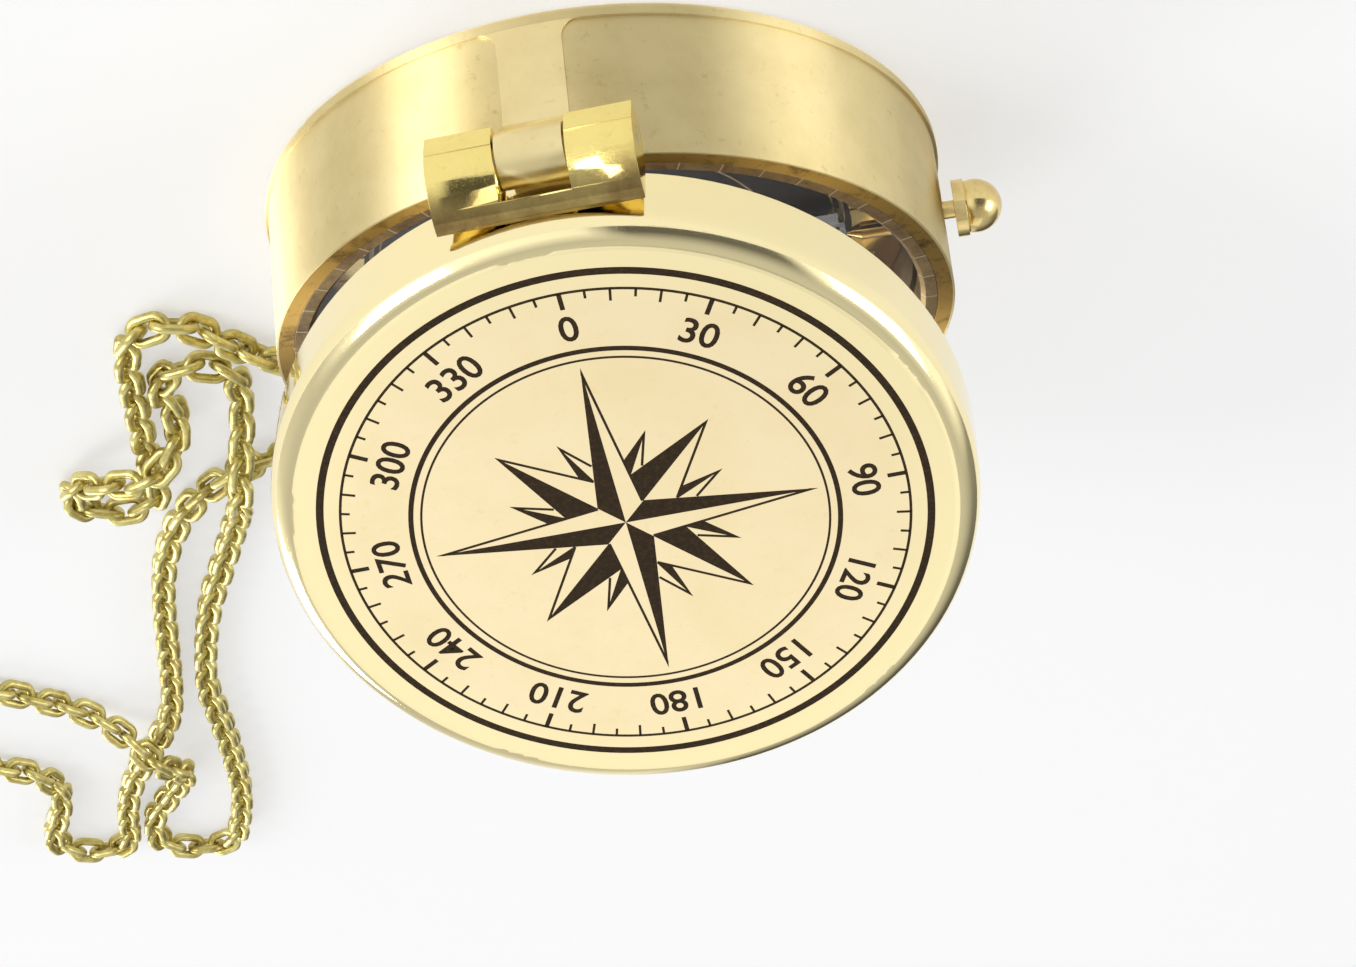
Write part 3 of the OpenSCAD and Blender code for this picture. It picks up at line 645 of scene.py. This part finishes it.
def stroke(start, end, width, inside):
    """A line from start to end whose width lies on the side of the point inside."""
    along = (end - start) / np.linalg.norm(end - start)
    side = np.array([-along[1], along[0]])
    if np.dot(inside - start, side) < 0:
        side = -side
    return plate([start, end, end - along * width * 3 + side * width, start + side * width])


def half_point(base, dark, light, tip):
    """A point of a rose: one half dark, the other an outline."""
    return [plate([base, dark, tip]), stroke(light, tip, 0.28, (base + tip) / 2)]


def rose(reach):
    """A rose of sixteen points, none of which covers another."""
    shapes = []
    for quarter in range(4):
        north = 90 * quarter
        tips = [polar(reach, north + turn) for turn in (0, 90)]
        notch, far_notch = [polar(reach * 0.17, north + turn) for turn in (45, -45)]
        shapes += half_point(np.zeros(2), far_notch, notch, tips[0])
        tip = polar(reach * 0.78, north + 45)
        shoulders = [notch + (end - notch) * 0.2 for end in tips]
        shapes += half_point(notch, *shoulders, tip)
        for k, turn in ((0, 22.5), (1, 67.5)):
            small_tip = polar(reach * 0.6, north + turn)
            on_main = shoulders[k] + (tips[k] - shoulders[k]) * 0.14
            on_diagonal = shoulders[k] + (tip - shoulders[k]) * 0.16
            pair = (on_main, on_diagonal) if k == 0 else (on_diagonal, on_main)
            shapes += half_point(shoulders[k], *pair, small_tip)
    return shapes


def lettered(text, height, radius, degrees):
    """A short text whose foot points to the middle, at that radius and direction."""
    curve = bpy.data.curves.new("text", "FONT")
    curve.body = text
    curve.size = height / CAPITAL_SHARE
    curve.align_x, curve.align_y = "CENTER", "CENTER"
    curve.extrude = INK_THICK / 2
    curve.offset = height * 0.02
    curve.resolution_u = 4
    holder = bpy.data.objects.new("holder", curve)
    SCENE.collection.objects.link(holder)
    made = holder.evaluated_get(bpy.context.evaluated_depsgraph_get())
    mesh = bpy.data.meshes.new_from_object(made)
    bpy.data.objects.remove(holder)
    x, y = polar(radius, degrees)
    turn = Matrix.Rotation(-math.radians(degrees), 4, "Z")
    mesh.transform(Matrix.Translation((x, y, 0)) @ turn)
    return [tuple(v.co) for v in mesh.vertices], [tuple(p.vertices) for p in mesh.polygons]


def inlay(name, shapes, middle, body, material, half_turn=False, on_lid=False):
    """Joins shapes into one thin piece at height middle, on the lid or in the case."""
    points, faces = [], []
    for shape_points, shape_faces in shapes:
        faces.extend(tuple(len(points) + v for v in face) for face in shape_faces)
        points.extend(shape_points)
    place = Matrix.Translation((0, 0, middle * MM)) @ Matrix.Scale(MM, 4)
    if half_turn:
        place = place @ Matrix.Rotation(math.pi, 4, "Z")
    if on_lid:
        place = open_lid() @ place
    piece = mesh_object(name, [place @ Vector(p) for p in points], faces, smooth=False)
    piece.data.materials.append(material)
    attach(piece, body)
    return piece


def make_lid_engraving():
    """A compass rose, a degree scale and plain numbers, as a dark fill on the lid's face."""
    dark = ink("engraving_fill", srgb(40, 27, 8), srgb(66, 48, 22))
    shapes = [ring(SCALE_R, 0.3), ring(22.6, 0.55), ring(21.5, 0.25), *rose(20.6)]
    for k in range(72):
        long = k % 6 == 0
        middle = k % 2 == 0
        inner = SCALE_R - (2.0 if long else 1.5 if middle else 1.0)
        shapes.append(tick(inner, SCALE_R, 0.5 if long else 0.28, 5 * k))
    shapes += [lettered(str(30 * k), 3.0, 25.4, 30 * k) for k in range(12)]
    inlay("lid_engraving", shapes, LID_TOP + INK_RISE, "lid", dark,
          half_turn=True, on_lid=True)
    inlay("ring_line_fill", [ring(RING_LINE_R, RING_LINE_W + FILL_RISE, RING_LINE_DEPTH)],
          LID_TOP + FILL_RISE - RING_LINE_DEPTH / 2, "lid", dark, on_lid=True)


def make_dial_print():
    """Rose and ring lines on the dial, with letters and numbers on the degree ring."""
    black = ink("ring_ink", srgb(34, 32, 30), srgb(62, 58, 52))
    pale = ink("dial_ink", srgb(236, 220, 178), srgb(210, 192, 148))
    card = [ring(26.4, 0.5), ring(25.5, 0.2), ring(18.2, 0.25), *rose(17.4)]
    inlay("dial_print", card, DIAL_TOP + INK_RISE, "case", pale)
    names = {0: "N", 90: "E", 180: "S", 270: "W"}
    marks = []
    for degrees in range(0, 360, 30):
        text = names.get(degrees, str(degrees))
        marks.append(lettered(text, 2.2 if degrees in names else 1.7, 29.4, degrees))
    inlay("degree_marks", marks, DEGREE_RING_TOP + INK_RISE, "case", black)


# Studio

def make_floor():
    """A pale floor. What the camera and the metal see of it is lifted halfway to white."""
    half = FLOOR_HALF
    corners = [(-half, -half, 0), (half, -half, 0), (half, half, 0), (-half, half, 0)]
    floor = mesh_object("floor", corners, [(0, 1, 2, 3)], smooth=False)
    material = bpy.data.materials.new("floor_white")
    tree = Tree(material)
    rays = tree.add("ShaderNodeLightPath").outputs
    seen = tree.math("MAXIMUM", rays["Is Camera Ray"], rays["Is Glossy Ray"])
    seen = tree.math("MAXIMUM", seen, rays["Is Transmission Ray"])
    paper = tree.add("ShaderNodeBsdfDiffuse", {"Color": srgb(244, 244, 244)})
    glow = tree.add("ShaderNodeEmission", {"Color": (1, 1, 1, 1)})
    tree.finish(tree.add("ShaderNodeMixShader", {
        0: tree.math("MULTIPLY", seen, FLOOR_LIFT), 1: paper.outputs[0], 2: glow.outputs[0],
    }))
    floor.data.materials.append(material)


def make_world():
    """A soft studio: even grey overhead, with broad paler and darker sides low down."""
    world = bpy.data.worlds.new("studio")
    SCENE.world = world
    tree = Tree(world)
    towards = tree.add("ShaderNodeTexCoord").outputs["Generated"]
    split = tree.add("ShaderNodeSeparateXYZ", {0: towards}).outputs
    angle = tree.math("ARCTAN2", split["Y"], split["X"])
    share = tree.math("ADD", tree.math("DIVIDE", angle, 2 * math.pi), 0.5)
    sides = tree.ramp(share, *SIDES)
    above = tree.ramp(split["Z"], *OVERHEAD)
    rise = tree.ramp(split["Z"], *SIDES_TO_OVERHEAD)
    light = tree.mix(rise, sides, above)
    background = tree.add("ShaderNodeBackground", {"Color": light})
    tree.add("ShaderNodeOutputWorld", {"Surface": background.outputs[0]})


def softbox(name, at, size, brightness):
    """An area lamp aimed at the object, whose face is as bright as brightness, 1 is white."""
    data = bpy.data.lights.new(name, "AREA")
    data.shape = "RECTANGLE"
    data.size, data.size_y = size
    data.energy = brightness * math.pi * size[0] * size[1]
    lamp = bpy.data.objects.new(name, data)
    SCENE.collection.objects.link(lamp)
    lamp.location = at
    lamp.rotation_euler = (-Vector(at)).to_track_quat("-Z", "Y").to_euler()
    lamp.visible_camera = False


def make_studio():
    make_floor()
    make_world()
    for lamp in SOFTBOXES:
        softbox(*lamp)


make_camera()
chain = make_chain()
make_studio()
dress_nodes(chain, make_knuckles())
make_lid_engraving()
make_dial_print()

SCENE.view_settings.view_transform = "Standard"
